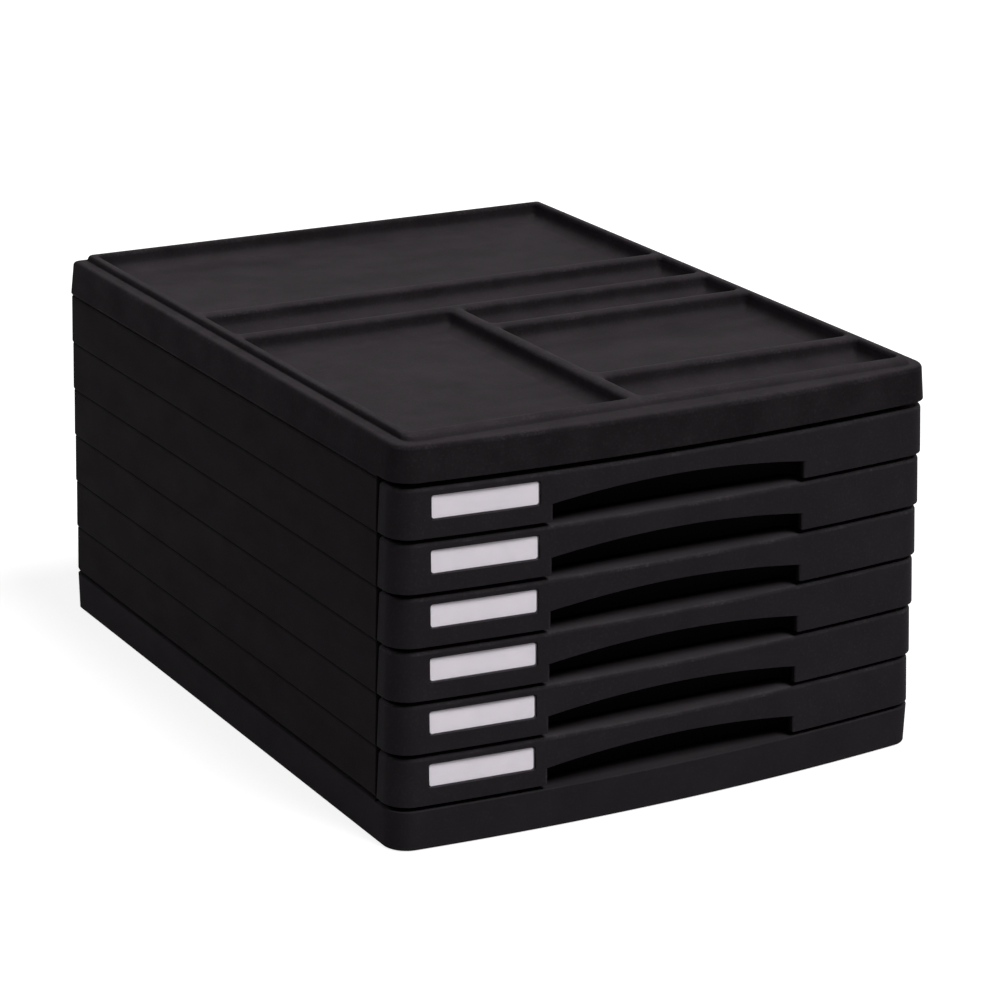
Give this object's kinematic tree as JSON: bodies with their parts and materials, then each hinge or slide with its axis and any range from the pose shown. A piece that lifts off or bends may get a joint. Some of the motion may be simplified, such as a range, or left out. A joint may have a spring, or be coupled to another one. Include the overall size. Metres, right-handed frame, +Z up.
{
  "type": "desktop drawer unit",
  "caption": "Low black desktop drawer unit with shallow stacked drawers, finger pulls and label windows on a bowed front, and a compartmented organiser top.",
  "frame": {"origin": "on the desk under the middle of the unit's bounding box", "axes": "+X to the right as seen from the front, +Y from the drawer fronts to the back, +Z up; the drawers pull out along -Y"},
  "size_m": [0.29, 0.373, 0.197],
  "materials": {
    "casing_plastic": "satin black moulded plastic",
    "drawer_plastic": "satin black moulded plastic",
    "label_card": "plain off-white card with a lilac cast",
    "label_window": "clear plastic",
    "foot_rubber": "matt black rubber"
  },
  "bodies": {
    "casing": {"base_plinth": "casing_plastic", "rubber_feet": "foot_rubber", "level_frame_1": "casing_plastic", "level_frame_2": "casing_plastic", "level_frame_3": "casing_plastic", "level_frame_4": "casing_plastic", "level_frame_5": "casing_plastic", "level_frame_6": "casing_plastic", "organiser_cover": "casing_plastic"},
    "drawer_body_1": {"drawer_1": "drawer_plastic", "label_card_1": "label_card", "label_window_1": "label_window"},
    "drawer_body_2": {"drawer_2": "drawer_plastic", "label_card_2": "label_card", "label_window_2": "label_window"},
    "drawer_body_3": {"drawer_3": "drawer_plastic", "label_card_3": "label_card", "label_window_3": "label_window"},
    "drawer_body_4": {"drawer_4": "drawer_plastic", "label_card_4": "label_card", "label_window_4": "label_window"},
    "drawer_body_5": {"drawer_5": "drawer_plastic", "label_card_5": "label_card", "label_window_5": "label_window"},
    "drawer_body_6": {"drawer_6": "drawer_plastic", "label_card_6": "label_card", "label_window_6": "label_window"}
  },
  "joints": [
    {"name": "drawer_slide_1", "type": "slide", "parent": "casing", "child": "drawer_body_1", "axis": [0, -1, 0], "range_m": [0, 0.25]},
    {"name": "drawer_slide_2", "type": "slide", "parent": "casing", "child": "drawer_body_2", "axis": [0, -1, 0], "range_m": [0, 0.25]},
    {"name": "drawer_slide_3", "type": "slide", "parent": "casing", "child": "drawer_body_3", "axis": [0, -1, 0], "range_m": [0, 0.25]},
    {"name": "drawer_slide_4", "type": "slide", "parent": "casing", "child": "drawer_body_4", "axis": [0, -1, 0], "range_m": [0, 0.25]},
    {"name": "drawer_slide_5", "type": "slide", "parent": "casing", "child": "drawer_body_5", "axis": [0, -1, 0], "range_m": [0, 0.25]},
    {"name": "drawer_slide_6", "type": "slide", "parent": "casing", "child": "drawer_body_6", "axis": [0, -1, 0], "range_m": [0, 0.25]}
  ]
}
